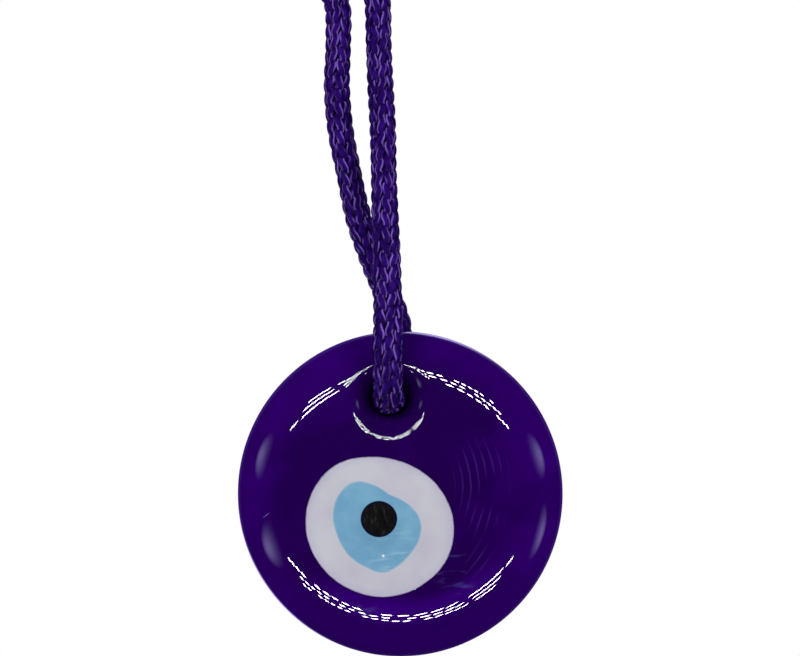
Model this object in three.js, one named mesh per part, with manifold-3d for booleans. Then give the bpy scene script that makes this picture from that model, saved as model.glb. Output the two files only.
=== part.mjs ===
// Evil eye ornament: a round dark glass disc with an eye of three glass drops fused into its face,
// hung by a length of knitted cord that passes through a hole near the rim and is knotted above.
// Millimetres, +Z up. The eye faces -Y. The origin is the hanging point, where a nail or a hook sits
// in the loop just under the knot.

import * as THREE from "three";
import { mergeVertices } from "three/addons/utils/BufferGeometryUtils.js";
import Module from "manifold-3d";

const wasm = await Module();
wasm.setup();

// ---- driving dimensions, in millimetres ----

const GAP = 0.3; // between pieces that touch
const FULL_TURN = 2 * Math.PI;
const MERGE_WITHIN = 0.001; // corners nearer than this are one corner

const HOLE_Z = -70; // the hole's centre, below the hanging point

const DISC = {
  radius: 25,
  centreZ: HOLE_Z - 15,
  frontY: -3.85, // the flat of the face; these three depths put the glass's weight right under the cord
  rimY: 0.75, // where the disc is widest
  backY: 3.55,
  flatRadius: 17.2, // the face is flat inside this and rounds off outside it
  backRadius: 22.6, // the same on the back
  backRing: 14, // an edge across the flat back, which keeps its facets small
};

const HOLE = {
  boreRadius: 2.8,
  frontLipRadius: 6.8, // where the melted mouth meets the face
  frontLipDepth: 3.3,
  backLipRadius: 5.3,
  backLipDepth: 2.9,
  overcut: 0.05, // how far each flare runs on past its face, so that the cut has no thin edge
  toolReach: 3, // how far the cutting shape stands out of both faces
};

// The eye's drops. A drop's outline is its reach from (x, z) at equal angles, anticlockwise as seen with
// +X to the right. x and z count from the disc's centre. seat is how far the drop's widest section stands
// out from the disc's face, rise how far its dome stands out beyond that, and depth how deep its bowl is.
const DROPS = {
  white: {
    x: -3.6,
    z: -4.35,
    reach: [11.2, 10.8, 10.5, 10.8, 11.65, 11.6, 11.2, 10.7, 10.5, 10.65, 10.9, 11.3],
    seat: 0,
    rise: 0.3,
    depth: 3.4,
  },
  iris: {
    x: -3.8,
    z: -4.5,
    reach: [6.6, 6.2, 5.7, 5.6, 6.8, 8.2, 8.1, 7.4, 6.6, 6.3, 6.25, 6.4, 6.9, 6.5, 6.3, 6.5],
    seat: 0.25,
    rise: 0.2,
    depth: 2.1,
  },
  pupil: {
    x: -3.55,
    z: -3.1,
    reach: [2.75, 2.75, 2.8, 2.85, 2.85, 2.8, 2.75, 2.7],
    seat: 0.4,
    rise: 0.15,
    depth: 1.1,
  },
};
const POCKET_MOUTH = 2; // how far a pocket's cutting shape stands out of the face

const CORD = { radius: 2.1, sides: 12, stepLength: 2.6 };
const BIGHT_HALF_LENGTH = 1.9; // the straight stretch of cord inside the hole

// The cord's route, from the knot down to the hole on each side, as x, y and the height above the hole.
// Under the knot the two sides bow apart round the nail.
const FRONT_ROUTE = [
  [2.4, 0, 70],
  [2.5, 0, 69],
  [3.5, -0.1, 67],
  [4.6, -0.3, 64.5],
  [5.2, -0.6, 61],
  [4.7, -1.2, 54.4],
  [4.2, -1.9, 47.6],
  [3.8, -2.5, 41],
  [3.2, -3.2, 34.4],
  [2.6, -3.9, 27.6],
  [2.1, -4.7, 21],
  [1.5, -5.6, 14.3],
  [1, -6.3, 9.5],
  [0.5, -6.5, 5.6],
  [0.2, -5.9, 2.6],
  [0, -4.6, 0.6],
  [0, -3.2, 0],
  [0, -2.2, 0],
];
const REAR_ROUTE = [
  [-2.4, 0, 70],
  [-2.5, 0, 69],
  [-2.9, 0.1, 67],
  [-2.2, 0.2, 64.5],
  [-1, 0.3, 61],
  [-1.5, 0.7, 55],
  [-2.5, 1.1, 48.2],
  [-2.7, 1.5, 41.6],
  [-2.2, 2, 35],
  [-1.5, 2.7, 28],
  [0, 3.8, 21.4],
  [1.7, 5.2, 15],
  [2.5, 5.9, 10.3],
  [2, 5.9, 6.4],
  [0.9, 5.4, 3],
  [0.1, 4.5, 0.8],
  [0, 3.2, 0],
  [0, 2.2, 0],
];

// How many flats make up each round shape: once round, or along one quarter of a section.
const FLATS = {
  disc: 72,
  discShoulder: 9,
  discBackEdge: 6,
  hole: 36,
  holeFlare: 7,
  drop: 40,
  dropRings: 16,
  pocketRings: 14,
  knot: 24,
  knotCorner: 4,
};

// The front side of the cord is wound round the rear side and tucked under itself, so the knot bulges
// to the front and the right.
const KNOT = { width: 14.4, depth: 13.6, height: 11.2, corner: 4, x: 1.2, y: -1.2 };
// The cut ends, from the knot's top, as x, y and the height above it.
const CORD_ENDS = {
  front: [
    [1.6, -3, 0],
    [2, -3.3, 3.4],
    [3.2, -3.6, 6.8],
    [5, -3.8, 10],
  ],
  rear: [
    [-2.4, 0.4, 0],
    [-3, 0.9, 3.4],
    [-4.4, 1.2, 6.8],
    [-6.4, 1.2, 9.4],
  ],
};

const FINISHES = {
  discGlass: { color: 0x2a0a5c, roughness: 0.08, metalness: 0 },
  whiteGlass: { color: 0xc8c5d0, roughness: 0.15, metalness: 0 },
  blueGlass: { color: 0x73a3c3, roughness: 0.15, metalness: 0 },
  blackGlass: { color: 0x0a0a12, roughness: 0.1, metalness: 0 },
  cord: { color: 0x46288c, roughness: 0.6, metalness: 0 },
};

// ---- helpers ----

function solidOf(geometry) {
  const bare = geometry.clone();
  bare.deleteAttribute("normal");
  bare.deleteAttribute("uv");
  const merged = mergeVertices(bare, MERGE_WITHIN);
  return new wasm.Manifold(
    new wasm.Mesh({
      numProp: 3,
      vertProperties: new Float32Array(merged.attributes.position.array),
      triVerts: new Uint32Array(merged.index.array),
    }),
  );
}

function geometryOf(solid) {
  const { vertProperties, triVerts } = solid.getMesh();
  const geometry = new THREE.BufferGeometry();
  geometry.setAttribute("position", new THREE.BufferAttribute(vertProperties, 3));
  geometry.setIndex(new THREE.BufferAttribute(triVerts, 1));
  geometry.computeVertexNormals();
  return geometry;
}

function cut(geometry, ...tools) {
  return geometryOf(tools.reduce((left, tool) => left.subtract(solidOf(tool)), solidOf(geometry)));
}

function mesh(name, geometry, finish) {
  const made = new THREE.Mesh(geometry, new THREE.MeshStandardMaterial(FINISHES[finish]));
  made.name = name;
  return made;
}

// A quarter of an ellipse, turning from along the first side of its corner to along the second.
function quarter(centre, reachX, reachY, fromAngle, steps) {
  return Array.from({ length: steps + 1 }, (_, i) => {
    const angle = fromAngle + (Math.PI / 2) * (i / steps);
    return new THREE.Vector2(centre[0] + reachX * Math.cos(angle), centre[1] + reachY * Math.sin(angle));
  });
}

// ---- the glass ----

// The disc's section, from the middle of its face round the rim to the middle of its back.
function discBlank() {
  const shoulder = quarter(
    [DISC.flatRadius, DISC.rimY],
    DISC.radius - DISC.flatRadius,
    DISC.rimY - DISC.frontY,
    -Math.PI / 2,
    FLATS.discShoulder,
  );
  const backEdge = quarter(
    [DISC.backRadius, DISC.rimY],
    DISC.radius - DISC.backRadius,
    DISC.backY - DISC.rimY,
    0,
    FLATS.discBackEdge,
  );
  const profile = [
    new THREE.Vector2(0, DISC.frontY),
    ...shoulder,
    ...backEdge.slice(1),
    new THREE.Vector2(DISC.backRing, DISC.backY),
    new THREE.Vector2(0, DISC.backY),
  ];
  return new THREE.LatheGeometry(profile, FLATS.disc).translate(0, 0, DISC.centreZ);
}

// What the hole takes away: a narrow bore that flares out to a soft lip on both faces.
function holeTool() {
  const { boreRadius, frontLipRadius, frontLipDepth, backLipRadius, backLipDepth, overcut, toolReach } = HOLE;
  const frontFlare = quarter(
    [frontLipRadius, DISC.frontY + frontLipDepth],
    frontLipRadius - boreRadius,
    frontLipDepth + overcut,
    Math.PI,
    FLATS.holeFlare,
  ).reverse();
  const backFlare = quarter(
    [backLipRadius, DISC.backY - backLipDepth],
    backLipRadius - boreRadius,
    backLipDepth + overcut,
    Math.PI / 2,
    FLATS.holeFlare,
  ).reverse();
  const profile = [
    new THREE.Vector2(0, DISC.frontY - toolReach),
    new THREE.Vector2(frontLipRadius, DISC.frontY - toolReach),
    ...frontFlare,
    ...backFlare,
    new THREE.Vector2(backLipRadius, DISC.backY + toolReach),
    new THREE.Vector2(0, DISC.backY + toolReach),
  ];
  return new THREE.LatheGeometry(profile, FLATS.hole).translate(0, 0, HOLE_Z);
}

// A drop of glass pressed into the face: a bowl below its seat and a shallow dome above it.
// A pocket for it is the same shape, larger by the gap and standing well out of the face.
function drop({ x, z, reach, seat, rise, depth }, isPocket = false) {
  const clearance = isPocket ? GAP : 0;
  const outline = new THREE.CatmullRomCurve3(
    reach.map((distance, i) => {
      const angle = (FULL_TURN * i) / reach.length;
      const far = distance + clearance;
      return new THREE.Vector3(far * Math.cos(angle), 0, far * Math.sin(angle));
    }),
    true,
  );
  const front = isPocket ? POCKET_MOUTH : rise;
  const back = depth + clearance;
  const geometry = new THREE.SphereGeometry(1, FLATS.drop, isPocket ? FLATS.pocketRings : FLATS.dropRings);
  const vertices = geometry.attributes.position;
  for (let i = 0; i < vertices.count; i++) {
    const [ux, uy, uz] = [vertices.getX(i), vertices.getY(i), vertices.getZ(i)];
    const share = Math.hypot(ux, uz);
    const angle = Math.atan2(uz, ux);
    const rim = outline.getPoint((angle / FULL_TURN + 1) % 1);
    vertices.setXYZ(i, share * rim.x, uy > 0 ? uy * back : uy * front, share * rim.z);
  }
  return geometry.translate(x, DISC.frontY - seat, DISC.centreZ + z);
}

function glass() {
  const made = new THREE.Group();
  made.add(
    mesh("glass_disc", cut(discBlank(), holeTool(), drop(DROPS.white, true)), "discGlass"),
    mesh("eye_white", cut(drop(DROPS.white), drop(DROPS.iris, true)), "whiteGlass"),
    mesh("eye_iris", cut(drop(DROPS.iris), drop(DROPS.pupil, true)), "blueGlass"),
    mesh("eye_pupil", drop(DROPS.pupil), "blackGlass"),
  );
  return made;
}

// ---- the cord ----

// A plain round cord along a route of x, y and height, with the heights counted from baseZ.
function cordAlong(route, baseZ) {
  const path = new THREE.CatmullRomCurve3(
    route.map(([x, y, height]) => new THREE.Vector3(x, y, baseZ + height)),
    false,
    "centripetal",
  );
  const section = new THREE.Shape(
    Array.from({ length: CORD.sides }, (_, i) => {
      const angle = (FULL_TURN * i) / CORD.sides;
      return new THREE.Vector2(CORD.radius * Math.cos(angle), CORD.radius * Math.sin(angle));
    }),
  );
  return new THREE.ExtrudeGeometry(section, {
    extrudePath: path,
    steps: Math.ceil(path.getLength() / CORD.stepLength),
    bevelEnabled: false,
  });
}

// The stretch of cord that lies straight through the hole.
function bight() {
  return new THREE.CylinderGeometry(
    CORD.radius,
    CORD.radius,
    2 * BIGHT_HALF_LENGTH,
    CORD.sides,
  ).translate(0, 0, HOLE_Z);
}

// The knot as a soft barrel with flat ends, which the legs and the cut ends meet face to face.
function knot() {
  const { width, depth, height, corner } = KNOT;
  const middle = width / 2 - corner;
  const profile = [
    new THREE.Vector2(0, 0),
    ...quarter([middle, corner], corner, corner, -Math.PI / 2, FLATS.knotCorner),
    ...quarter([middle, height - corner], corner, corner, 0, FLATS.knotCorner),
    new THREE.Vector2(0, height),
  ];
  return new THREE.LatheGeometry(profile, FLATS.knot)
    .rotateX(Math.PI / 2)
    .scale(1, depth / width, 1)
    .translate(KNOT.x, KNOT.y, GAP);
}

function cord() {
  const made = new THREE.Group();
  const endsZ = KNOT.height + 2 * GAP;
  made.add(
    mesh("cord_front_leg", cordAlong(FRONT_ROUTE, HOLE_Z), "cord"),
    mesh("cord_bight", bight(), "cord"),
    mesh("cord_rear_leg", cordAlong(REAR_ROUTE, HOLE_Z), "cord"),
    mesh("top_knot", knot(), "cord"),
    mesh("cord_end_front", cordAlong(CORD_ENDS.front, endsZ), "cord"),
    mesh("cord_end_rear", cordAlong(CORD_ENDS.rear, endsZ), "cord"),
  );
  return made;
}

const ornament = new THREE.Group();
ornament.add(glass(), cord());

export default ornament;
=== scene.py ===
"""Evil eye ornament: a pressed disc of indigo glass with an eye of three glass drops in its face, hung
on a loop of knitted cord that is knotted above.

Metres, +Z up, and the eye faces -Y. The origin is the hanging point, just under the knot.
"""

import math

import bpy
import numpy as np
from mathutils import Matrix, Vector


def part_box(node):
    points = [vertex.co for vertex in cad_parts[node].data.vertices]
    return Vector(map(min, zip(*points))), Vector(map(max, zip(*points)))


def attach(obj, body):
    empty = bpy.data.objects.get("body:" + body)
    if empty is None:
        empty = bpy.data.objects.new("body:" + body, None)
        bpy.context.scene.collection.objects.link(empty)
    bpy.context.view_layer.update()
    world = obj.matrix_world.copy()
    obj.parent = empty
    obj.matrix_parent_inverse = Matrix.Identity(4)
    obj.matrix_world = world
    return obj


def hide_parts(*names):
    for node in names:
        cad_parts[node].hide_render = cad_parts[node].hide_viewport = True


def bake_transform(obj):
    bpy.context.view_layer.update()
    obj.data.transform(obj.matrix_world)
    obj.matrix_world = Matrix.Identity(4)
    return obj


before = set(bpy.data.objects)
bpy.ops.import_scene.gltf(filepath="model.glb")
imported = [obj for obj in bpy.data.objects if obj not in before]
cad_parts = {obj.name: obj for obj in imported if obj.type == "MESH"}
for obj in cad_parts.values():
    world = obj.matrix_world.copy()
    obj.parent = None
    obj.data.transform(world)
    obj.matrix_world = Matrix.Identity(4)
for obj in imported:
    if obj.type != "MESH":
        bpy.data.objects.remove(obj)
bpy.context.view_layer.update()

MM = 0.001
FULL_TURN = 2 * math.pi

# ---- driving dimensions ----

DISC_LOW, DISC_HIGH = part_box("glass_disc")
DISC_RADIUS = (DISC_HIGH.x - DISC_LOW.x) / 2
CENTRE_Z = (DISC_HIGH.z + DISC_LOW.z) / 2
FACE_Y = DISC_LOW.y
BACK_Y = DISC_HIGH.y
HOLE_Z = -70 * MM

RIM_Y = 0.75 * MM  # where the disc is widest
FLAT_RADIUS = 17.2 * MM  # the face is flat inside this and rounds off outside it
BACK_FLAT_RADIUS = 22.6 * MM
BORE_RADIUS = 2.8 * MM
FRONT_MOUTH = (6.8 * MM, 3.3 * MM)  # radius and depth of the melted mouth in the face
BACK_MOUTH = (5.3 * MM, 2.9 * MM)

# The eye's drops, in millimetres: x and z from the disc's centre, the reach to the outline at equal
# angles, anticlockwise from +X as seen from the front, and how deep the drop is sunk.
WHITE_DROP = {
    "x": -3.6,
    "z": -4.35,
    "reach": (11.2, 10.8, 10.5, 10.8, 11.65, 11.6, 11.2, 10.7, 10.5, 10.65, 10.9, 11.3),
    "depth": 3.4,
}
IRIS_DROP = {
    "x": -3.8,
    "z": -4.5,
    "reach": (6.6, 6.2, 5.7, 5.6, 6.8, 8.2, 8.1, 7.4, 6.6, 6.3, 6.25, 6.4, 6.9, 6.5, 6.3, 6.5),
    "depth": 2.1,
}
PUPIL_DROP = {
    "x": -3.55,
    "z": -3.1,
    "reach": (2.75, 2.75, 2.8, 2.85, 2.85, 2.8, 2.75, 2.7),
    "depth": 1.1,
}
EYE_RISE = 0.3 * MM  # how far the middle of the eye swells out of the face
DROP_STEP = 0.008 * MM  # how far each drop stands over the glass round it
DROP_AROUND = 144
DROP_RINGS = 56

# The unevenness of fire-polished glass: how high its waves are, how long, and how far they wander.
WAVE_HEIGHT = 0.006 * MM
WAVE_LENGTHS = (3.1 * MM, 3.7 * MM)
WANDER_LENGTHS = (4.3 * MM, 5.3 * MM)
WANDERS = (1.3, 1.1)
WAVE_SHIFT = 2
WAVE_FADE = 4 * MM  # the waves die away over this, up to the rim
BACK_UNEVENNESS = 2  # the back's waves are so many times the face's

# How finely the disc is made: round it, over the face, into each mouth, round the back's edge and
# over the back.
DISC_AROUND = 224
FACE_RINGS = 90
MOUTH_RINGS = 18
EDGE_RINGS = 14
BACK_RINGS = 40

# The cord's route on each side of the hole, from the knot down: x, y and the height above the hole.
FRONT_ROUTE = (
    (0.0024, 0, 0.07),
    (0.0025, 0, 0.069),
    (0.0035, -0.0001, 0.067),
    (0.0046, -0.0003, 0.0645),
    (0.0052, -0.0006, 0.061),
    (0.0047, -0.0012, 0.0544),
    (0.0042, -0.0019, 0.0476),
    (0.0038, -0.0025, 0.041),
    (0.0032, -0.0032, 0.0344),
    (0.0026, -0.0039, 0.0276),
    (0.0021, -0.0047, 0.021),
    (0.0015, -0.0056, 0.0143),
    (0.001, -0.0063, 0.0095),
    (0.0005, -0.0065, 0.0056),
    (0.0002, -0.0059, 0.0026),
    (0, -0.0046, 0.0006),
    (0, -0.0032, 0),
    (0, -0.0022, 0),
)
REAR_ROUTE = (
    (-0.0024, 0, 0.07),
    (-0.0025, 0, 0.069),
    (-0.0029, 0.0001, 0.067),
    (-0.0022, 0.0002, 0.0645),
    (-0.001, 0.0003, 0.061),
    (-0.0015, 0.0007, 0.055),
    (-0.0025, 0.0011, 0.0482),
    (-0.0027, 0.0015, 0.0416),
    (-0.0022, 0.002, 0.035),
    (-0.0015, 0.0027, 0.028),
    (0, 0.0038, 0.0214),
    (0.0017, 0.0052, 0.015),
    (0.0025, 0.0059, 0.0103),
    (0.002, 0.0059, 0.0064),
    (0.0009, 0.0054, 0.003),
    (0.0001, 0.0045, 0.0008),
    (0, 0.0032, 0),
    (0, 0.0022, 0),
)
# The overhand knot that the front side ties round the rear side: degrees from +X towards the front,
# distance from the upright through the hanging point, and height over it, in millimetres.
KNOT_TURN = (
    (0, 3.1, 2.5),
    (5, 3.6, 5.2),
    (20, 4.2, 7.6),
    (50, 5.6, 8.9),
    (90, 7.0, 8.9),
    (130, 5.4, 8.4),
    (170, 4.0, 7.6),
    (215, 3.6, 6.4),
    (260, 3.6, 5.0),
    (300, 4.2, 3.9),
    (340, 5.9, 3.2),
    (375, 6.5, 2.9),
    (410, 5.0, 2.7),
    (440, 3.7, 3.6),
    (447, 3.4, 6.2),
    (440, 3.4, 8.8),
)
# The cut ends above the knot, and the rear side's way straight up through it, over the hanging point.
FRONT_TAIL = (
    (0.0016, -0.003, 0.0118),
    (0.002, -0.0033, 0.0152),
    (0.0032, -0.0036, 0.0186),
    (0.005, -0.0038, 0.0218),
)
REAR_TAIL = (
    (-0.001, 0.0002, 0.0025),
    (-0.0004, 0, 0.0053),
    (-0.001, 0.0002, 0.0085),
    (-0.0024, 0.0004, 0.0118),
    (-0.003, 0.0009, 0.0152),
    (-0.0044, 0.0012, 0.0186),
    (-0.0064, 0.0012, 0.0212),
)

CORD_DIAMETER = 4.2 * MM
JUNCTION_Z = -50 * MM  # where the knotted sides end and the stretch that goes through the hole begins
LINE_STEP = 0.2 * MM  # between points on the cord's middle line
PATH_STEP = 1 * MM  # between points on the stated path of each stretch

# The knit: four wales round the cord, all worked from one yarn that winds round it.
WALES = 4
COURSE = 2.1 * MM
LOOP_RADIUS = 1.46 * MM  # the yarn's middle, from the cord's middle
LOOP_SWING = 0.17  # how far a stitch's sides lean out at its head, as a share of the wale's width
LOOP_HEIGHT = 2.7 * MM
LOOP_DEPTH = 0.2 * MM
YARN_WIDTH = 1.3 * MM
YARN_THICKNESS = 0.84 * MM
YARN_STEPS = 24  # sections along one stitch
YARN_SIDES = 10
CORE_RADIUS = 1.35 * MM
CORE_SIDES = 36
CORE_STEP = 1 * MM
CORE_GROWTH_IN_HOLE = 1.04 * MM  # so that the squeezed cord fills the bore
TWIST_LENGTH = 150 * MM  # the wales make one slow turn round the cord in this
CROWN_START = 0.5  # a stitch's crown begins this far out of the cord, as a share of its radius
SPREAD_AT_DISC = 0.12  # the cord is this much plumper where it is bent into the hole
SPREAD_TOP_Z = -38 * MM
SPREAD_RUN = 20 * MM
SPREAD_IN_HOLE = 0.19  # and this much more where it fills the hole
HOLE_REACH = 4.5 * MM  # how far along the cord, from the hole's middle, that ends
KNOT_SQUEEZE = 0.1  # the cord is this much thinner in the knot
KNOT_TOP_Z = 14 * MM
GIRTH_FADE = 3 * MM  # the girth changes over this at the knot and in the hole

# The melted tips: half their size across, the other way across, and along the cord.
TIP_SIZE = (1.95 * MM, 1.85 * MM, 1.3 * MM)
TIP_LUMPS = (0.06, 0.04)
TIP_INSET = 1 * MM  # the yarn stops this far short of the line's two ends, inside the tips
TIP_AROUND = 32
TIP_RINGS = 20

# ---- the camera ----

CAMERA_ROLL = math.radians(6.6)
CAMERA_AIM = Vector((2.9 * MM, RIM_Y, -59.65 * MM))
CAMERA_DISTANCE = 342 * MM
CAMERA_RIGHT = Vector((math.cos(CAMERA_ROLL), 0, -math.sin(CAMERA_ROLL)))
CAMERA_UP = Vector((math.sin(CAMERA_ROLL), 0, math.cos(CAMERA_ROLL)))
LENS = 100  # millimetres, as is the sensor
SENSOR = 36
CLIP_START = 10 * MM


def make_camera():
    """A level camera in front of the ornament, rolled a little, so that the loop leans as it hung."""
    data = bpy.data.cameras.new("camera")
    data.lens = LENS
    data.sensor_width = SENSOR
    data.clip_start = CLIP_START
    back = Vector((0, -1, 0))
    camera = bpy.data.objects.new("camera", data)
    bpy.context.scene.collection.objects.link(camera)
    place = Matrix((CAMERA_RIGHT, CAMERA_UP, back)).transposed().to_4x4()
    place.translation = CAMERA_AIM + back * CAMERA_DISTANCE
    camera.matrix_world = place
    bpy.context.scene.camera = camera


# ---- the knitted cord ----


def straight(left, right, low, high, t):
    """Goes straight from left, at low, to right, at high."""
    return (left * (high - t) + right * (t - low)) / (high - low)


def smooth_line(points):
    """A centripetal Catmull-Rom curve through all the points, built up from straight runs."""
    points = np.array(points, float)
    first = 2 * points[0] - points[1]
    last = 2 * points[-1] - points[-2]
    knots = np.vstack([first, points, last])
    line = []
    for before, start, end, after in zip(knots, knots[1:], knots[2:], knots[3:]):
        times = np.cumsum(
            [0] + [np.sqrt(np.linalg.norm(b - a)) for a, b in ((before, start), (start, end), (end, after))]
        )
        count = max(2, int(np.linalg.norm(end - start) / LINE_STEP))
        t = np.linspace(times[1], times[2], count, endpoint=False)[:, None]
        lead_in = straight(before, start, times[0], times[1], t)
        span = straight(start, end, times[1], times[2], t)
        lead_out = straight(end, after, times[2], times[3], t)
        early = straight(lead_in, span, times[0], times[2], t)
        late = straight(span, lead_out, times[1], times[3], t)
        line.append(straight(early, late, times[1], times[2], t))
    return np.vstack([*line, points[-1]])


def above_hole(route):
    """A route's points with their heights counted from the hanging point."""
    return [(x, y, HOLE_Z + height) for x, y, height in route]


def knot_turn():
    """The knot's turn in x, y and z, in metres."""
    turned = []
    for degrees, distance, height in KNOT_TURN:
        angle = math.radians(degrees)
        turned.append(
            (distance * math.cos(angle) * MM, -distance * math.sin(angle) * MM, height * MM)
        )
    return turned


class CordLine:
    """The whole cord's middle line, from the front side's cut end, down through the hole and up again,
    with a pair of crosswise directions that turn as little as they can along it."""

    def __init__(self):
        down = list(reversed(FRONT_TAIL)) + list(reversed(knot_turn())) + above_hole(FRONT_ROUTE)
        up = list(reversed(above_hole(REAR_ROUTE))) + list(REAR_TAIL)
        self.points = smooth_line(down + up)
        steps = np.linalg.norm(np.diff(self.points, axis=0), axis=1)
        self.along = np.concatenate([[0], np.cumsum(steps)])
        self.length = self.along[-1]
        tangents = np.gradient(self.points, self.along, axis=0)
        self.tangents = tangents / np.linalg.norm(tangents, axis=1)[:, None]
        self.across = self.carried_along()
        self.middle = self.along[np.argmin(np.linalg.norm(self.points - (0, 0, HOLE_Z), axis=1))]

    def carried_along(self):
        """A crosswise direction carried from point to point without turning about the line."""
        first = np.cross(self.tangents[0], (0, 1, 0))
        across = [first / np.linalg.norm(first)]
        for i in range(len(self.points) - 1):
            chord = self.points[i + 1] - self.points[i]
            square = chord @ chord
            left = across[-1] - (2 / square) * (chord @ across[-1]) * chord
            tangent = self.tangents[i] - (2 / square) * (chord @ self.tangents[i]) * chord
            fix = self.tangents[i + 1] - tangent
            size = max(fix @ fix, np.finfo(float).tiny)
            across.append(left - (2 / size) * (fix @ left) * fix)
        return np.array(across)

    def at(self, distance):
        """Points, tangents and the two crosswise directions at distances along the line."""
        point, tangent, across = (
            np.stack([np.interp(distance, self.along, values[:, k]) for k in range(3)], axis=1)
            for values in (self.points, self.tangents, self.across)
        )
        tangent /= np.linalg.norm(tangent, axis=1)[:, None]
        side = np.cross(tangent, across)
        side /= np.linalg.norm(side, axis=1)[:, None]
        return point, tangent, np.cross(side, tangent), side

    def crossing(self, height, after_hole):
        """The distance along the line at which it passes a height, before or after the hole."""
        half = self.along > self.middle if after_hole else self.along < self.middle
        below = half & (self.points[:, 2] < 0)
        index = np.where(below)[0]
        return self.along[index[np.argmin(np.abs(self.points[index, 2] - height))]]

    def plumpness(self, distance):
        """The cord's girth as a share of its usual one: more at the disc and less in the knot."""
        point = self.at(distance)[0]
        height = point[:, 2]
        low = np.clip((SPREAD_TOP_Z - height) / SPREAD_RUN, 0, 1)
        in_knot = np.clip(height / GIRTH_FADE, 0, 1) * np.clip((KNOT_TOP_Z - height) / GIRTH_FADE, 0, 1)
        in_hole = self.in_hole(distance)
        return 1 + SPREAD_AT_DISC * low + SPREAD_IN_HOLE * in_hole - KNOT_SQUEEZE * in_knot

    def in_hole(self, distance):
        """1 where the cord is squeezed into the hole, and 0 clear of it."""
        return np.clip((HOLE_REACH - np.abs(distance - self.middle)) / GIRTH_FADE, 0, 1)


def tube_mesh(rings, distances):
    """Vertices, faces and UVs of a tube through rings of points, with its two ends filled. A UV is how
    far along the tube a corner lies, and how far round it."""
    count, sides = rings.shape[:2]
    vertices = rings.reshape(-1, 3)
    faces = []
    uvs = []
    for i in range(count - 1):
        for k in range(sides):
            after = (k + 1) % sides
            faces.append((i * sides + k, i * sides + after, (i + 1) * sides + after, (i + 1) * sides + k))
            for ring, side in ((i, k), (i, k + 1), (i + 1, k + 1), (i + 1, k)):
                uvs.append((distances[ring], side / sides))
    for ring, order in ((0, range(sides - 1, -1, -1)), (count - 1, range(sides))):
        faces.append(tuple(ring * sides + k for k in order))
        uvs += [(distances[ring], k / sides) for k in order]
    return vertices, faces, uvs


def yarn_rings(line, start, end):
    """The sections of the yarn between two distances along the cord, how far each has come along the
    yarn, and how far out of the cord it lies, from 0 to 1."""
    stitches = (end - start) / COURSE * WALES
    first = round((start - line.middle) / COURSE * WALES * YARN_STEPS)
    last = first + round(stitches * YARN_STEPS)
    stitch = np.arange(first, last + 1) / YARN_STEPS
    phase = FULL_TURN * stitch
    turn = FULL_TURN / WALES
    run = line.middle + stitch / WALES * COURSE
    distance = np.clip(run + LOOP_HEIGHT / 2 * np.cos(phase), 0, line.length)
    girth = line.plumpness(distance)
    angle = turn * (stitch + LOOP_SWING * np.sin(2 * phase)) + FULL_TURN * run / TWIST_LENGTH
    out = LOOP_RADIUS - LOOP_DEPTH * np.cos(2 * phase)
    point, tangent, across, side = line.at(distance)
    radial = across * np.cos(angle)[:, None] + side * np.sin(angle)[:, None]
    middle = point + radial * (out * girth)[:, None]
    yarn = np.gradient(middle, axis=0)
    yarn /= np.linalg.norm(yarn, axis=1)[:, None]
    width = np.cross(yarn, radial)
    width /= np.linalg.norm(width, axis=1)[:, None]
    outward = np.cross(width, yarn)
    around = FULL_TURN * np.arange(YARN_SIDES) / YARN_SIDES
    flat = (width[:, None] * np.cos(around)[None, :, None]) * (YARN_WIDTH / 2 * girth)[:, None, None]
    tall = (outward[:, None] * np.sin(around)[None, :, None]) * (YARN_THICKNESS / 2 * girth)[:, None, None]
    rings = middle[:, None] + flat + tall
    length = np.concatenate([[0], np.cumsum(np.linalg.norm(np.diff(middle, axis=0), axis=1))])
    height = np.linalg.norm(rings - point[:, None], axis=2) / (girth[:, None] * CORD_DIAMETER / 2)
    crown = np.clip((height - CROWN_START) / (1 - CROWN_START), 0, 1)
    return rings, length / MM, crown


def core_rings(line, start, end):
    """The cord's inside, which shows between the stitches and is painted dark as shade."""
    distance = np.linspace(start, end, max(2, int((end - start) / CORE_STEP)))
    point, _, across, side = line.at(distance)
    around = FULL_TURN * np.arange(CORE_SIDES) / CORE_SIDES
    radius = CORE_RADIUS * line.plumpness(distance) + CORE_GROWTH_IN_HOLE * line.in_hole(distance)
    ring = across[:, None] * np.cos(around)[None, :, None] + side[:, None] * np.sin(around)[None, :, None]
    return point[:, None] + ring * radius[:, None, None], distance / MM


def knitted_cord(name, line, start, end):
    """One stretch of the knitted cord as a mesh, with the yarn's own UV map."""
    rings, length, crown = yarn_rings(line, start, end)
    vertices, faces, uvs = tube_mesh(rings, length)
    inner, inner_length = core_rings(line, start, end)
    core_vertices, core_faces, core_uvs = tube_mesh(inner, inner_length)
    shift = len(vertices)
    faces += [tuple(v + shift for v in face) for face in core_faces]
    mesh = bpy.data.meshes.new(name)
    mesh.from_pydata(np.vstack([vertices, core_vertices]).tolist(), [], faces)
    yarn_map = mesh.uv_layers.new(name="yarn")
    yarn_map.data.foreach_set("uv", np.array(uvs + core_uvs, np.float32).ravel())
    # The core's crown is 0, so it takes the painted shade between the stitches.
    attribute = mesh.attributes.new("crown", "FLOAT", "POINT")
    attribute.data.foreach_set(
        "value", np.concatenate([crown.ravel(), np.zeros(len(core_vertices))]).astype(np.float32)
    )
    mesh.shade_smooth()
    cord = bpy.data.objects.new(name, mesh)
    bpy.context.scene.collection.objects.link(cord)
    tidy_normals(cord)
    return cord


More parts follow.
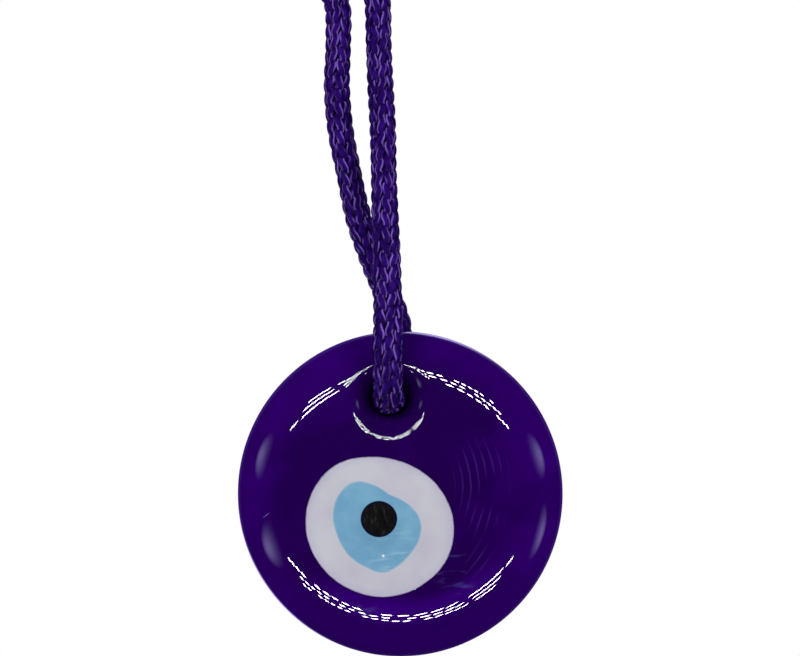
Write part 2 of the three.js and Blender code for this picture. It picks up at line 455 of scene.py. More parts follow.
def melted_tip(name, line, distance, outwards):
    """The hard bead where a cut end of the cord was melted so that it can't ravel."""
    point, tangent, across, side = (values[0] for values in line.at(np.array([distance])))
    sphere = bpy.ops.mesh.primitive_uv_sphere_add
    tip = start_piece(name, sphere, segments=TIP_AROUND, ring_count=TIP_RINGS, radius=1)
    along = tangent * outwards
    frame_axes = Matrix((across, side, along)).transposed()
    rng = np.random.default_rng(7)
    phases = rng.random(2) * FULL_TURN
    few, many = TIP_LUMPS
    for vertex in tip.data.vertices:
        x, y, z = vertex.co
        angle = math.atan2(y, x)
        lumps = 1 + few * math.sin(3 * angle + phases[0]) + many * math.sin(5 * angle + phases[1] + 3 * z)
        local = Vector((x * TIP_SIZE[0] * lumps, y * TIP_SIZE[1] * lumps, z * TIP_SIZE[2]))
        vertex.co = frame_axes @ local + Vector(point)
    tidy_normals(tip)
    tip.data.shade_smooth()
    return tip


# ---- making pieces ----


def deselect():
    """Selects nothing, so that what comes next works on one piece alone."""
    for thing in bpy.context.selected_objects:
        thing.select_set(False)


def start_piece(name, primitive, **sizes):
    """Adds a primitive and names it."""
    deselect()
    primitive(**sizes)
    piece = bpy.context.object
    piece.name = name
    piece.data.name = name
    return piece


def tidy_normals(piece):
    """Makes every face of a closed piece point outwards."""
    deselect()
    piece.select_set(True)
    bpy.context.view_layer.objects.active = piece
    bpy.ops.object.mode_set(mode="EDIT")
    bpy.ops.mesh.select_all(action="SELECT")
    bpy.ops.mesh.normals_make_consistent(inside=False)
    bpy.ops.object.mode_set(mode="OBJECT")


# ---- the glass ----


def quarter_ellipse(share):
    """How far a quarter of a circle has fallen at a share of its width."""
    return 1 - np.sqrt(1 - np.clip(share, 0, 1) ** 2)


def waviness(x, z):
    """The slight unevenness of a fire-polished face."""
    aside = np.sin(x / WAVE_LENGTHS[0] + WANDERS[0] * np.sin(z / WANDER_LENGTHS[0]))
    upright = np.sin(z / WAVE_LENGTHS[1] + WANDERS[1] * np.sin(x / WANDER_LENGTHS[1]) + WAVE_SHIFT)
    return WAVE_HEIGHT * (aside + upright)


def face_y(x, z):
    """The y of the disc's front at x and z: flat, rounding off to the rim and into the hole's mouth."""
    from_centre = np.hypot(x, z - CENTRE_Z)
    from_hole = np.hypot(x, z - HOLE_Z)
    mouth_radius, mouth_depth = FRONT_MOUTH
    shoulder = quarter_ellipse((from_centre - FLAT_RADIUS) / (DISC_RADIUS - FLAT_RADIUS))
    mouth = quarter_ellipse((mouth_radius - from_hole) / (mouth_radius - BORE_RADIUS))
    fall = np.hypot(shoulder * (RIM_Y - FACE_Y), mouth * mouth_depth)
    inside = np.clip((DISC_RADIUS - from_centre) / WAVE_FADE, 0, 1)
    return FACE_Y + fall + waviness(x, z) * inside


def back_y(x, z):
    """The y of the disc's back at x and z."""
    from_centre = np.hypot(x, z - CENTRE_Z)
    from_hole = np.hypot(x, z - HOLE_Z)
    mouth_radius, mouth_depth = BACK_MOUTH
    edge = quarter_ellipse((from_centre - BACK_FLAT_RADIUS) / (DISC_RADIUS - BACK_FLAT_RADIUS))
    mouth = quarter_ellipse((mouth_radius - from_hole) / (mouth_radius - BORE_RADIUS))
    fall = np.hypot(edge * (BACK_Y - RIM_Y), mouth * mouth_depth)
    inside = np.clip((DISC_RADIUS - from_centre) / WAVE_FADE, 0, 1)
    return BACK_Y - fall - BACK_UNEVENNESS * np.abs(waviness(z, x)) * inside


def rings_between(first, last, shares):
    """Circles that pass evenly from one circle to another. Each is its radius and its centre's z."""
    return [tuple(a + (b - a) * share for a, b in zip(first, last)) for share in shares]


def make_disc():
    """A ring of glass, stretched so that its hole lies near the rim and its outside is round."""
    ease = np.sin(np.linspace(0, math.pi / 2, FACE_RINGS))
    turn_in = np.sin(np.linspace(0, math.pi / 2, MOUTH_RINGS))
    turn_out = np.sin(np.linspace(0, math.pi / 2, EDGE_RINGS))
    rim = (DISC_RADIUS, CENTRE_Z)
    back_flat = (BACK_FLAT_RADIUS, CENTRE_Z)
    bore = (BORE_RADIUS, HOLE_Z)
    front_mouth = (FRONT_MOUTH[0], HOLE_Z)
    back_mouth = (BACK_MOUTH[0], HOLE_Z)
    front = rings_between(front_mouth, bore, turn_in)[::-1]
    front += rings_between(front_mouth, rim, ease)[1:]
    back = rings_between(back_flat, rim, turn_out)[::-1][1:]
    back += rings_between(back_flat, back_mouth, np.linspace(0, 1, BACK_RINGS))[1:]
    back += rings_between(back_mouth, bore, turn_in)[1:]
    sections = len(front) + len(back)
    disc = start_piece(
        "indigo_disc",
        bpy.ops.mesh.primitive_torus_add,
        major_segments=DISC_AROUND,
        minor_segments=sections,
        major_radius=DISC_RADIUS,
        minor_radius=DISC_RADIUS / 2,
    )
    angle = FULL_TURN * np.arange(DISC_AROUND) / DISC_AROUND
    placed = []
    for rings, height in ((front, face_y), (back, back_y)):
        for radius, centre_z in rings:
            x = radius * np.cos(angle)
            z = centre_z + radius * np.sin(angle)
            placed.append(np.stack([x, height(x, z), z], axis=1))
    disc.data.vertices.foreach_set("co", np.stack(placed, axis=1).ravel())
    disc.data.update()
    tidy_normals(disc)
    disc.data.shade_smooth()
    return disc


def reach_at(drop, angle):
    """A drop's reach at angles, on a smooth closed curve through its given ones."""
    reach = np.array(drop["reach"]) * MM
    place = np.mod(angle / FULL_TURN, 1) * len(reach)
    index = place.astype(int)
    t = place - index
    before, start, end, after = (reach[(index + k) % len(reach)] for k in (-1, 0, 1, 2))
    return start + t / 2 * (
        (end - before)
        + t * (2 * before - 5 * start + 4 * end - after)
        + t * t * (3 * start - before - 3 * end + after)
    )


def share_of(drop, x, z):
    """How far out a point lies in a drop: 0 at its middle and 1 on its outline."""
    dx = x - drop["x"] * MM
    dz = z - CENTRE_Z - drop["z"] * MM
    return np.hypot(dx, dz) / reach_at(drop, np.arctan2(dz, dx))


def make_drop(name, drop, level):
    """One drop of the eye: a lens whose front carries on the swell of the eye, sunk in what is under it."""
    sphere = bpy.ops.mesh.primitive_uv_sphere_add
    lens = start_piece(name, sphere, segments=DROP_AROUND, ring_count=DROP_RINGS, radius=1)
    unit = np.zeros(len(lens.data.vertices) * 3)
    lens.data.vertices.foreach_get("co", unit)
    unit = unit.reshape(-1, 3)
    share = np.clip(np.hypot(unit[:, 0], unit[:, 1]), 0, 1)
    angle = np.arctan2(unit[:, 1], unit[:, 0])
    reach = reach_at(drop, angle)
    x = drop["x"] * MM + share * reach * np.cos(angle)
    z = CENTRE_Z + drop["z"] * MM + share * reach * np.sin(angle)
    swell = EYE_RISE * (1 - np.clip(share_of(WHITE_DROP, x, z), 0, 1) ** 2) ** 2
    front = face_y(x, z) - swell - DROP_STEP * level
    y = front + np.where(unit[:, 2] < 0, -unit[:, 2] * drop["depth"] * MM, 0)
    lens.data.vertices.foreach_set("co", np.stack([x, y, z], axis=1).ravel())
    attribute = lens.data.attributes.new("share", "FLOAT", "POINT")
    attribute.data.foreach_set("value", share.astype(np.float32))
    lens.data.update()
    tidy_normals(lens)
    lens.data.shade_smooth()
    return lens


# ---- materials ----

# Colours, as linear red, green and blue, and opacity.
PLAIN_WHITE = (1, 1, 1, 1)
INDIGO_MIDDLE = (0.018, 0.0, 0.082, 1)
# Paler indigo: the glass's own clouds, and painted light that shines through its thinner margin.
INDIGO_CLOUDS_AND_BACKLIGHT = (0.042, 0.0, 0.21, 1)
# Painted light that shines through the thin edge of the disc.
INDIGO_RIM_BACKLIT = (0.11, 0.035, 0.42, 1)
INDIGO_FLOW_LINE = (0.085, 0.02, 0.33, 1)
INDIGO_SMEAR = (0.11, 0.1, 0.4, 1)
INDIGO_NICK = (0.22, 0.14, 0.5, 1)
WHITE = (0.675, 0.68, 0.755, 1)
WHITE_CLOUD = (0.62, 0.60, 0.71, 1)
WHITE_EDGE = (0.52, 0.46, 0.72, 1)
BLUE = (0.19, 0.43, 0.66, 1)
BLUE_MOTTLE = (0.23, 0.50, 0.70, 1)
BLUE_STREAK = (0.38, 0.62, 0.80, 1)
BLUE_DEEP = (0.12, 0.30, 0.48, 1)
BLACK = (0.006, 0.006, 0.007, 1)
BLACK_DRAW = (0.03, 0.03, 0.028, 1)
BLACK_RIM = (0.004, 0.004, 0.03, 1)
CORD_GAP_SHADE = (0.004, 0.0, 0.032, 1)
CORD_DARK = (0.014, 0.0, 0.10, 1)
CORD_LIGHT = (0.030, 0.001, 0.19, 1)
CORD_GLINT = (0.27, 0.14, 0.66, 1)
CORD_SHEEN = (0.5, 0.32, 1.0, 1)
MELT_DARK = (0.010, 0.002, 0.05, 1)
MELT_LIGHT = (0.04, 0.012, 0.17, 1)

# How much of the paler indigo the margin itself (painted light that shines through the thinner glass), the
# clouds and the pale band each bring in.
BACKLIT_MARGIN_SHARE = 0.55
CLOUD_SHARE = 0.36
BAND_SHARE = 0.75

# Marks in the glass, as x and z from the disc's middle, in millimetres.
SWIRL = (-4, 2)
SMEARS = ((6.8, -12.6, 4.6), (-7.4, -15.6, 2.6))  # and their sizes
NICK = (-20.6, -0.6)
STIRRED = (-2.2, -8.2)
# A bubble, whose glint is painted as a white dot.
BUBBLE_GLINT = (-3.6, -8.7)
SMEAR_TURN = math.radians(-35)
NICK_TURN = math.radians(31)
NICK_NARROWNESS = 9
FLOW_LINE_CLOSENESS = 5200  # how fast the lines' wave turns, in radians to the metre

GLASS_IOR = 1.52
GLASS_BUMP = (0.05, 0.02 * MM)  # each bump's strength and height
FIBRE_BUMP = (0.7, 0.1 * MM)
MELT_BUMP = (0.5, 0.15 * MM)
YARN_TOP = 0.25  # how far round the yarn its outward side lies
GLINT_OFFSET = 0.13  # and how far from there its two edges lie


class Wiring:
    """Adds nodes to one tree and joins them, so that a material reads as a list of steps."""

    def __init__(self, tree):
        self.tree = tree

    def node(self, kind, inputs=None, **settings):
        """One node, with its settings and its inputs, which are numbers, colours or other sockets."""
        made = self.tree.nodes.new(kind)
        for setting, value in settings.items():
            setattr(made, setting, value)
        for socket, value in (inputs or {}).items():
            if isinstance(value, bpy.types.NodeSocket):
                self.tree.links.new(value, made.inputs[socket])
            else:
                made.inputs[socket].default_value = value
        return made

    def feed(self, shader, sockets):
        """Joins values to a shader's sockets."""
        for socket, value in sockets.items():
            self.tree.links.new(value, shader.inputs[socket])

    def math(self, operation, first, second=0.0):
        return self.node("ShaderNodeMath", {0: first, 1: second}, operation=operation).outputs[0]

    def product(self, first, *others):
        for other in others:
            first = self.math("MULTIPLY", first, other)
        return first

    def fade(self, value, low, high, start=0.0, end=1.0):
        """Goes smoothly from start to end while the value goes from low to high."""
        inputs = {"Value": value, "From Min": low, "From Max": high, "To Min": start, "To Max": end}
        return self.node("ShaderNodeMapRange", inputs, interpolation_type="SMOOTHSTEP").outputs["Result"]

    def blend(self, share, first, second):
        """The second colour over the first, by a share."""
        mix = self.node("ShaderNodeMix", {0: share, 6: first, 7: second}, data_type="RGBA")
        return mix.outputs[2]

    def noise(self, vector, scale, detail=2.0, roughness=0.5, distortion=0.0):
        inputs = {"Vector": vector, "Scale": scale, "Detail": detail, "Roughness": roughness}
        inputs["Distortion"] = distortion
        return self.node("ShaderNodeTexNoise", inputs).outputs["Fac"]

    def place(self, vector, location=(0, 0, 0), scale=(1, 1, 1), rotation=(0, 0, 0)):
        """Moves, turns and scales a pattern."""
        inputs = {"Vector": vector, "Location": location, "Rotation": rotation, "Scale": scale}
        return self.node("ShaderNodeMapping", inputs).outputs[0]

    def own_place(self):
        return self.node("ShaderNodeTexCoord").outputs["Object"]

    def disc_place(self):
        """Places counted from the disc's middle."""
        return self.place(self.own_place(), location=(0, 0, -CENTRE_Z))

    def length(self, vector):
        return self.node("ShaderNodeVectorMath", {0: vector}, operation="LENGTH").outputs["Value"]

    def away_from(self, vector, spot, turn=0.0, narrow=1.0):
        """How far a place lies from a spot's x and z, in a spot that is turned and is narrow across."""
        x, z = spot
        centred = self.place(vector, location=(-x * MM, 0, -z * MM))
        turned = self.place(centred, rotation=(0, turn, 0))
        return self.length(self.place(turned, scale=(1, 0, narrow)))

    def attribute(self, name):
        return self.node("ShaderNodeAttribute", attribute_name=name).outputs["Fac"]

    def bump(self, height, strength, distance):
        inputs = {"Height": height, "Strength": strength, "Distance": distance}
        return self.node("ShaderNodeBump", inputs).outputs[0]


def new_material(name):
    """A material with a bare Principled shader, and the wiring to add to it."""
    material = bpy.data.materials.new(name)
    material.use_nodes = True
    shader = material.node_tree.nodes["Principled BSDF"]
    return material, shader, Wiring(material.node_tree)


def flow_lines(wiring, flat, x, radius, front):
    """Thin curved streaks round a point left of the middle, strongest to the right, from 0 to 1."""
    swirl = wiring.place(flat, location=(-SWIRL[0] * MM, 0, -SWIRL[1] * MM))
    wander = wiring.product(wiring.noise(swirl, 60), 2.2 * MM)
    outwards = wiring.math("ADD", wiring.length(swirl), wander)
    lines = wiring.fade(wiring.math("SINE", wiring.product(outwards, FLOW_LINE_CLOSENESS)), 0.55, 1.0)
    inside = wiring.fade(radius, 18.5 * MM, 16 * MM)
    right = wiring.product(wiring.fade(x, 7 * MM, 11 * MM), inside, front)
    patch = wiring.fade(wiring.noise(flat, 160, detail=1), 0.4, 0.7)
    return wiring.product(lines, right, wiring.product(patch, 0.42))


def indigo_group():
    """The indigo glass's colour over the disc: cloudy, with flow lines to one side, darker in the middle
    and paler at the margin and rim, where painted light stands for the light that shines through the
    thinner glass. The same colour shows at the soft edge of the eye's white."""
    group = bpy.data.node_groups.new("indigo_glass", "ShaderNodeTree")
    for name, colour in (("Middle", INDIGO_MIDDLE), ("Margin", INDIGO_CLOUDS_AND_BACKLIGHT)):
        entrance = group.interface.new_socket(name, in_out="INPUT", socket_type="NodeSocketColor")
        entrance.default_value = colour
    group.interface.new_socket("Colour", in_out="OUTPUT", socket_type="NodeSocketColor")
    wiring = Wiring(group)
    entry = wiring.node("NodeGroupInput")
    axes = wiring.node("ShaderNodeSeparateXYZ", {0: wiring.disc_place()})
    x, z = axes.outputs["X"], axes.outputs["Z"]
    front = wiring.fade(axes.outputs["Y"], 0.5 * MM, -1 * MM)
    flat = wiring.node("ShaderNodeCombineXYZ", {"X": x, "Z": z}).outputs[0]
    radius = wiring.length(flat)

    cloud = wiring.fade(wiring.noise(flat, 95, detail=3, distortion=0.6), 0.42, 0.72)
    # The margin is paler: painted light that shines through the thinner glass from behind.
    backlit_margin = wiring.fade(radius, 0.66 * DISC_RADIUS, 0.98 * DISC_RADIUS)
    share = wiring.math("ADD", wiring.product(backlit_margin, BACKLIT_MARGIN_SHARE), wiring.product(cloud, CLOUD_SHARE))
    # A paler band low down, where the face begins to round off.
    band_inside = wiring.fade(radius, 15 * MM, 17.2 * MM)
    band = wiring.product(band_inside, wiring.fade(radius, 20.5 * MM, 18 * MM), front)
    low = wiring.product(band, wiring.fade(z, -9 * MM, -15 * MM, 0, BAND_SHARE))
    share = wiring.math("MINIMUM", wiring.math("ADD", share, low), 1.0)
    colour = wiring.blend(share, entry.outputs["Middle"], entry.outputs["Margin"])
    colour = wiring.blend(flow_lines(wiring, flat, x, radius, front), colour, INDIGO_FLOW_LINE)

    # Milky bluish smears under the eye, where a little of the white was dragged along.
    dragged = wiring.place(flat, rotation=(0, SMEAR_TURN, 0), scale=(0.6, 1, 2.4))
    smears = wiring.product(wiring.fade(wiring.noise(dragged, 330, detail=4), 0.52, 0.75), front)
    for *spot, size in SMEARS:
        near = wiring.fade(wiring.away_from(flat, spot), size * MM, 0.3 * size * MM)
        colour = wiring.blend(wiring.product(near, smears, 0.5), colour, INDIGO_SMEAR)

    # A small nick in the margin.
    nick = wiring.away_from(flat, NICK, turn=NICK_TURN, narrow=NICK_NARROWNESS)
    nick = wiring.product(wiring.fade(nick, 0.8 * MM, 0.5 * MM, 0, 0.6), front)
    colour = wiring.blend(nick, colour, INDIGO_NICK)

    # The rim is paler still: painted light that shines through the thin edge.
    rim = wiring.fade(radius, 0.972 * DISC_RADIUS, DISC_RADIUS)
    colour = wiring.blend(wiring.product(rim, 0.7), colour, INDIGO_RIM_BACKLIT)
    exit_node = wiring.node("NodeGroupOutput")
    group.links.new(colour, exit_node.inputs["Colour"])
    return group


def group_colour(wiring, group):
    return wiring.node("ShaderNodeGroup", node_tree=group).outputs["Colour"]


def indigo_glass(group):
    """Dark indigo glass, fire-polished, so deep that hardly any light comes through."""
    material, shader, wiring = new_material("indigo_glass")
    place = wiring.own_place()
    scratch = wiring.noise(wiring.place(place, rotation=(0, 0.5, 0), scale=(1, 1, 14)), 260)
    wiring.feed(shader, {
        "Base Color": group_colour(wiring, group),
        "Roughness": wiring.fade(scratch, 0.6, 0.8, 0.015, 0.045),
        "Normal": wiring.bump(wiring.noise(place, 230), *GLASS_BUMP),
    })
    shader.inputs["IOR"].default_value = GLASS_IOR
    return material


def drop_material(name, paint, edge, outside):
    """Opaque coloured glass. paint gives its colour, and between the two shares in edge it gives way to
    what is outside the drop: a colour, or a node group that puts one out."""
    material, shader, wiring = new_material(name)
    place = wiring.own_place()
    share = wiring.attribute("share")
    ragged = wiring.math("ADD", share, wiring.product(wiring.noise(place, 900), 0.02))
    if isinstance(outside, bpy.types.NodeTree):
        outside = group_colour(wiring, outside)
    wiring.feed(shader, {
        "Base Color": wiring.blend(wiring.fade(ragged, *edge), paint(wiring, place, share), outside),
        "Roughness": wiring.fade(wiring.noise(place, 400), 0.3, 0.8, 0.06, 0.14),
        "Normal": wiring.bump(wiring.noise(place, 260), *GLASS_BUMP),
    })
    shader.inputs["IOR"].default_value = GLASS_IOR
    return material


def white_paint(wiring, place, share):
    """Milk white, a little greyer in clouds and lilac towards its edge."""
    cloud = wiring.fade(wiring.noise(place, 170, detail=3), 0.35, 0.75)
    colour = wiring.blend(cloud, WHITE, WHITE_CLOUD)
    return wiring.blend(wiring.fade(share, 0.86, 1.0, 0, 0.35), colour, WHITE_EDGE)


def blue_paint(wiring, place, share):
    """Sky blue, mottled, deeper round the pupil, with pale streaks where it was stirred, and a bubble whose
    glint is painted as a white dot.
    """
    mottle = wiring.fade(wiring.noise(place, 420, detail=4), 0.35, 0.7)
    colour = wiring.blend(mottle, BLUE, BLUE_MOTTLE)
    on_disc = wiring.disc_place()
    near = wiring.fade(wiring.away_from(on_disc, STIRRED), 5.5 * MM, 1.5 * MM)
    stirred = wiring.noise(wiring.place(on_disc, rotation=(0, 0.35, 0), scale=(0.5, 1, 4)), 620, detail=3)
    streaks = wiring.product(wiring.fade(stirred, 0.47, 0.66), near, 0.6)
    colour = wiring.blend(streaks, colour, BLUE_STREAK)
    colour = wiring.blend(wiring.fade(share, 0.3, 0.6, 0.3, 0.0), colour, BLUE_DEEP)
    # Painted highlight: the bubble's glint, as a white dot.
    bubble_glint = wiring.fade(wiring.away_from(on_disc, BUBBLE_GLINT), 0.26 * MM, 0.12 * MM)
    return wiring.blend(bubble_glint, colour, PLAIN_WHITE)


def black_paint(wiring, place, share):
    """Near black, with faint grey draws in it and a deep blue rim."""
    draws = wiring.noise(wiring.place(place, scale=(3, 1, 0.8)), 700, detail=3)
    colour = wiring.blend(wiring.fade(draws, 0.48, 0.75, 0, 0.8), BLACK, BLACK_DRAW)
    return wiring.blend(wiring.fade(share, 0.84, 0.95), colour, BLACK_RIM)


def cord_material():
    """Knitted filament yarn: fine satin fibres that run along it, with painted shade between the stitches.
    """
    material, shader, wiring = new_material("knitted_cord")
    yarn = wiring.node("ShaderNodeUVMap", uv_map="yarn").outputs[0]
    crown = wiring.attribute("crown")
    fibres = wiring.noise(wiring.place(yarn, scale=(0.5, 26, 1)), 1.0, detail=3, roughness=0.65)
    strands = wiring.noise(wiring.place(yarn, scale=(0.9, 9, 1)), 1.0, detail=1)
    dye = wiring.noise(wiring.own_place(), 500)
    tone = wiring.blend(wiring.fade(dye, 0.35, 0.7), CORD_DARK, CORD_LIGHT)
    # Painted shade: the yarn darkens towards the cord's inside, and the core is darkest.
    tone = wiring.blend(wiring.fade(crown, 0.5, 1.0), CORD_GAP_SHADE, tone)

    # Painted glints: the fibres that turn over at the yarn's two edges catch the light, painted into the
    # colour as thin broken lines.
    round_yarn = wiring.node("ShaderNodeSeparateXYZ", {0: yarn}).outputs["Y"]
    from_top = wiring.math("ABSOLUTE", wiring.math("SUBTRACT", round_yarn, YARN_TOP))
    from_edge = wiring.math("ABSOLUTE", wiring.math("SUBTRACT", from_top, GLINT_OFFSET))
    broken = wiring.noise(wiring.place(yarn, scale=(0.45, 5, 1)), 1.0, detail=1)
    glint = wiring.product(wiring.fade(from_edge, 0.055, 0.015), wiring.fade(broken, 0.44, 0.58))
    glint = wiring.product(glint, wiring.fade(crown, 0.3, 0.8), wiring.fade(fibres, 0.35, 0.6, 0.5, 1.0))
    height = wiring.math("ADD", fibres, wiring.product(strands, 1.4))
    wiring.feed(shader, {
        "Base Color": wiring.blend(glint, tone, CORD_GLINT),
        "Roughness": wiring.fade(fibres, 0.3, 0.8, 0.24, 0.36),
        "Normal": wiring.bump(height, *FIBRE_BUMP),
    })
    shader.inputs["Specular Tint"].default_value = CORD_SHEEN
    return material


def melted_material():
    """Cord melted to a hard bead: darker and glossier than the yarn, and lumpy."""
    material, shader, wiring = new_material("melted_cord")
    lumps = wiring.noise(wiring.own_place(), 1400, detail=3)
    wiring.feed(shader, {
        "Base Color": wiring.blend(wiring.fade(lumps, 0.4, 0.7), MELT_DARK, MELT_LIGHT),
        "Roughness": wiring.fade(lumps, 0.3, 0.8, 0.2, 0.42),
        "Normal": wiring.bump(lumps, *MELT_BUMP),
    })
    return material


def finish_piece(piece, material):
    """Gives a piece its one material."""
    piece.data.materials.clear()
    piece.data.materials.append(material)


# ---- the studio ----

FLOOR_Z = CENTRE_Z - DISC_RADIUS - 25 * MM
FLOOR_RADIUS = 3.0
FLOOR_SIDES = 96
FLOOR_GREY = (0.8, 0.8, 0.8, 1)
FILL_STRENGTH = 0.24

STRIP_AHEAD = 0.5  # how far the lamp strips stand in front of the disc
# How high each strip's middle row is over the disc's middle, and how many lamps a row has.
STRIPS = ((0.124, 24), (-0.198, 25))
STRIP_ROWS = (-1, 0, 1)
STRIP_ROW_GAP = 38 * MM
STRIP_ROW_SHIFT = 5 * MM
LAMP_PITCH = 17 * MM
LAMP_WIDTH = 11 * MM
LAMP_HEIGHT = 10 * MM
LAMP_SLANT = 5 * MM
LAMPS_TO_A_GAP = 6
LAMP_STRENGTH = 70

# The soft panels beside the camera: how far to the side and over the disc's middle, and how tall.
SIDE_PANELS = (
    ("upper_left", -0.69, 0.135, 0.24),
    ("upper_right", 0.69, 0.135, 0.24),
    ("lower_left", -0.54, -0.276, 0.20),
    ("lower_right", 0.78, -0.28, 0.34),
)
# Those as far behind the disc as the others are in front, which its back mirrors.
BEHIND_PANELS = (
    ("behind_high", 0.10, 0.42, 0.5),
    ("behind_low", -0.25, -0.24, 0.4),
)
PANEL_WIDTH = 0.7
PANEL_STRENGTH = 3.6
PANEL_COLOUR = (0.62, 0.56, 1, 1)

# The soft boxes: where each is, its width and height, and its watts.
SOFT_BOXES = (
    ("key", (-0.35, -0.55, 0.35), (0.35, 0.35), 2.2),
    ("fill", (0.45, -0.5, 0.1), (0.35, 0.35), 1.5),
    ("under", (0.05, -0.5, -0.5), (0.3, 0.3), 1.0),
    ("back", (-0.2, 0.6, 0.25), (0.4, 0.4), 1.5),
)
# Those that light the cord alone.
SATIN_BOXES = (
    ("satin_over", (0.0, -0.10, 0.32), (0.3, 0.06), 0.08),
    ("satin_under", (0.0, -0.14, -0.44), (0.3, 0.06), 0.06),
    ("satin_left", (-0.36, -0.10, 0.02), (0.06, 0.3), 0.04),
    ("satin_right", (0.36, -0.10, -0.06), (0.06, 0.3), 0.03),
)
BOX_TARGET = Vector((0, 0, -60 * MM))

CORNERS = ((-1, -1), (1, -1), (1, 1), (-1, 1))  # of a rectangle, as right and up


def emptied(owner):
    """The wiring of a material or of the world, without the nodes that it comes with."""
    owner.use_nodes = True
    owner.node_tree.nodes.clear()
    return Wiring(owner.node_tree)


def emitter(name, colour, strength_of):
    """A material that only glows. strength_of gives its strength, which may vary over it."""
    material = bpy.data.materials.new(name)
    wiring = emptied(material)
    glow = wiring.node("ShaderNodeEmission", {"Color": colour, "Strength": strength_of(wiring)})
    wiring.node("ShaderNodeOutputMaterial", {"Surface": glow.outputs[0]})
    return material


def staged(name, vertices, faces, material):
    """A plain mesh that belongs to the studio."""
    mesh = bpy.data.meshes.new(name)
    mesh.from_pydata(vertices, [], faces)
    mesh.materials.append(material)
    thing = bpy.data.objects.new(name, mesh)
    bpy.context.scene.collection.objects.link(thing)
    return thing


def in_lamp_plane(aside, rise, ahead=STRIP_AHEAD):
    """A place so far in front of the disc, and to the right of its middle and over it for the camera."""
    return Vector((0, -ahead, CENTRE_Z)) + CAMERA_RIGHT * aside + CAMERA_UP * rise


def only_mirrored(lamp):
    """The lamp shows in what the ornament mirrors, and nowhere else."""
    lamp.visible_camera = False
    lamp.visible_diffuse = False
    lamp.visible_shadow = False


def lamp_strips(glass_pieces):
    """Rows of small bright lamps over and under the camera, which the rounded glass mirrors as dashes."""
    vertices = []
    faces = []
    for rise, lamps in STRIPS:
        half_row = (lamps - 1) / 2 * LAMP_PITCH
        for row in STRIP_ROWS:
            for column in range(lamps):
                if (column + 2 * row) % LAMPS_TO_A_GAP == 0:
                    continue
                across = column * LAMP_PITCH - half_row + row * STRIP_ROW_SHIFT
                height = rise + row * STRIP_ROW_GAP
                start = len(vertices)
                for right, up in CORNERS:
                    slanted = height + (up * LAMP_HEIGHT + right * LAMP_SLANT) / 2
                    vertices.append(in_lamp_plane(across + right * LAMP_WIDTH / 2, slanted))
                faces.append((start, start + 1, start + 2, start + 3))
    material = emitter("lamp_light", PLAIN_WHITE, lambda wiring: LAMP_STRENGTH)
    strips = staged("lamp_strips", vertices, faces, material)
    only_mirrored(strips)
    strips.light_linking.receiver_collection = glass_pieces


def panel_strength(wiring):
    """Full in the middle of a panel, and nothing at its edges."""
    place = wiring.node("ShaderNodeUVMap", uv_map="panel").outputs[0]
    away = wiring.length(wiring.place(place, location=(-0.5, -0.5, 0)))
    return wiring.product(wiring.fade(away, 0.5, 0.0), PANEL_STRENGTH)


def soft_panel(name, aside, rise, tall, ahead):
    """A glowing panel that fades out towards its edges, for the soft glows that the glass mirrors."""
    outwards = Vector((aside, rise)).normalized()
    upwards = outwards.orthogonal()
    corners = []
    for right, up in CORNERS:
        corner = Vector((aside, rise)) + outwards * right * PANEL_WIDTH / 2 + upwards * up * tall / 2
        corners.append(in_lamp_plane(*corner, ahead))
    material = emitter(name, PANEL_COLOUR, panel_strength)
    panel = staged("panel_" + name, corners, [(0, 1, 2, 3)], material)
    panel_map = panel.data.uv_layers.new(name="panel")
    panel_map.data.foreach_set("uv", (0, 0, 1, 0, 1, 1, 0, 1))
    only_mirrored(panel)


def soft_box(name, place, size, watts, only_for=None):
    """A soft box that faces the ornament's middle. The glass doesn't mirror it. One that is only for some
    pieces lights no others, and those pieces' satin mirrors it."""
    data = bpy.data.lights.new(name, "AREA")
    data.shape = "RECTANGLE"
    data.size, data.size_y = size
    data.energy = watts
    lamp = bpy.data.objects.new(name, data)
    lamp.location = place
    lamp.rotation_euler = (BOX_TARGET - Vector(place)).to_track_quat("-Z", "Y").to_euler()
    bpy.context.scene.collection.objects.link(lamp)
    lamp.visible_camera = False
    if only_for:
        lamp.light_linking.receiver_collection = only_for
    else:
        lamp.visible_glossy = False


def lit_together(name, pieces):
    """The pieces that some lamps light and no others do: one collection that all such lamps share."""
    lit = bpy.data.collections.new(name)
    for piece in pieces:
        lit.objects.link(piece)
    return lit


def make_world():
    """White behind the ornament, a dim fill for its own surfaces, and nothing for the glass to mirror."""
    world = bpy.data.worlds.new("studio")
    bpy.context.scene.world = world
    wiring = emptied(world)
    ray = wiring.node("ShaderNodeLightPath")
    fill = wiring.product(ray.outputs["Is Diffuse Ray"], FILL_STRENGTH)
    strength = wiring.math("ADD", ray.outputs["Is Camera Ray"], fill)
    sky = wiring.node("ShaderNodeBackground", {"Color": PLAIN_WHITE, "Strength": strength})
    wiring.node("ShaderNodeOutputWorld", {"Surface": sky.outputs[0]})


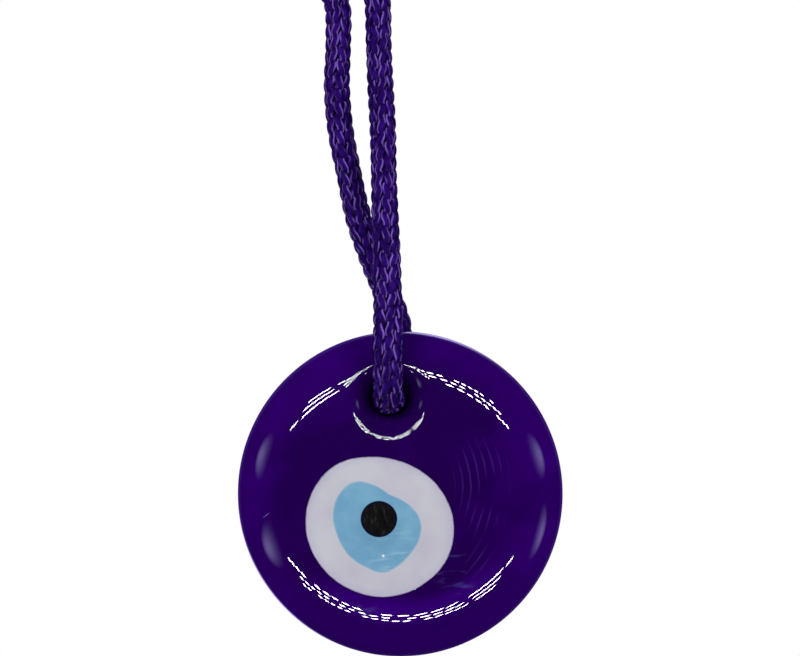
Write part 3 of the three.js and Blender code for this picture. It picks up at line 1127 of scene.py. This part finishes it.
def make_floor():
    """A plain white floor a little below the ornament."""
    circle = bpy.ops.mesh.primitive_circle_add
    floor = start_piece("floor", circle, vertices=FLOOR_SIDES, radius=FLOOR_RADIUS, fill_type="NGON")
    for vertex in floor.data.vertices:
        vertex.co.z += FLOOR_Z
    material = bpy.data.materials.new("floor")
    wiring = emptied(material)
    to_camera = wiring.node("ShaderNodeLightPath").outputs["Is Camera Ray"]
    glow = wiring.node("ShaderNodeEmission", {"Color": PLAIN_WHITE, "Strength": 1.0}).outputs[0]
    matt = wiring.node("ShaderNodeBsdfDiffuse", {"Color": FLOOR_GREY}).outputs[0]
    seen = wiring.node("ShaderNodeMixShader", {0: to_camera, 1: matt, 2: glow})
    wiring.node("ShaderNodeOutputMaterial", {"Surface": seen.outputs[0]})
    floor.data.materials.append(material)
    floor.visible_glossy = False


def make_studio(satin_pieces, glass_pieces):
    """The world, the floor and every lamp. The two collections hold what some lamps alone light."""
    make_world()
    make_floor()
    lamp_strips(glass_pieces)
    for panel in SIDE_PANELS:
        soft_panel(*panel, ahead=STRIP_AHEAD)
    for panel in BEHIND_PANELS:
        soft_panel(*panel, ahead=-STRIP_AHEAD)
    for box in SOFT_BOXES:
        soft_box(*box)
    for box in SATIN_BOXES:
        soft_box(*box, only_for=satin_pieces)
    bpy.context.scene.view_settings.view_transform = "Standard"


# ---- putting it together ----


def make_cords():
    """The cord's three knitted stretches, the path that each follows, and its two melted tips."""
    line = CordLine()
    front_join = line.crossing(JUNCTION_Z, after_hole=False)
    rear_join = line.crossing(JUNCTION_Z, after_hole=True)
    last = line.length - TIP_INSET
    stretches = {
        "cord_front_side": (TIP_INSET, front_join),
        "cord_through_hole": (front_join, rear_join),
        "cord_rear_side": (rear_join, last),
    }
    material = cord_material()
    cords = {}
    paths = {}
    for name, (start, end) in stretches.items():
        cords[name] = knitted_cord(name, line, start, end)
        finish_piece(cords[name], material)
        distance = np.linspace(start, end, int((end - start) / PATH_STEP) + 2)
        paths[name] = line.at(distance)[0]
    melted = melted_material()
    tips = {}
    for name, distance, outwards in (("front_cut_end", TIP_INSET, -1), ("rear_cut_end", last, 1)):
        tips[name] = melted_tip(name, line, distance, outwards)
        finish_piece(tips[name], melted)
        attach(tips[name], "hanger")
    return cords, paths, tips


def declare_cords(cords):
    """Bakes the three stretches' placing into their meshes, and hides the part's pieces that they stand in
    for.
    """
    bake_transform(cords["cord_front_side"])
    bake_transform(cords["cord_rear_side"])
    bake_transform(cords["cord_through_hole"])
    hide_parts("cord_front_leg", "top_knot", "cord_end_front")
    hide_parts("cord_rear_leg", "cord_end_rear")
    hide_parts("cord_bight")


def make_glass():
    """The disc and the three drops of its eye, which move together."""
    indigo = indigo_group()
    white = drop_material("white_glass", white_paint, (0.988, 1.018), indigo)
    blue = drop_material("blue_glass", blue_paint, (0.95, 1.02), WHITE)
    black = drop_material("black_glass", black_paint, (0.97, 1.03), BLUE_DEEP)
    pieces = (
        (make_disc(), indigo_glass(indigo), "disc_glass", "glass_disc"),
        (make_drop("white_of_eye", WHITE_DROP, 1), white, "white_glass", "eye_white"),
        (make_drop("iris_of_eye", IRIS_DROP, 2), blue, "blue_glass", "eye_iris"),
        (make_drop("pupil_of_eye", PUPIL_DROP, 3), black, "black_glass", "eye_pupil"),
    )
    for piece, material, slot, node in pieces:
        finish_piece(piece, material)
        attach(piece, "pendant")
        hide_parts(node)
    return [piece for piece, *_ in pieces]


make_camera()
cords, paths, tips = make_cords()
declare_cords(cords)
glass = make_glass()
make_studio(
    lit_together("satin_pieces", [*cords.values(), *tips.values()]),
    lit_together("glass_pieces", glass),
)
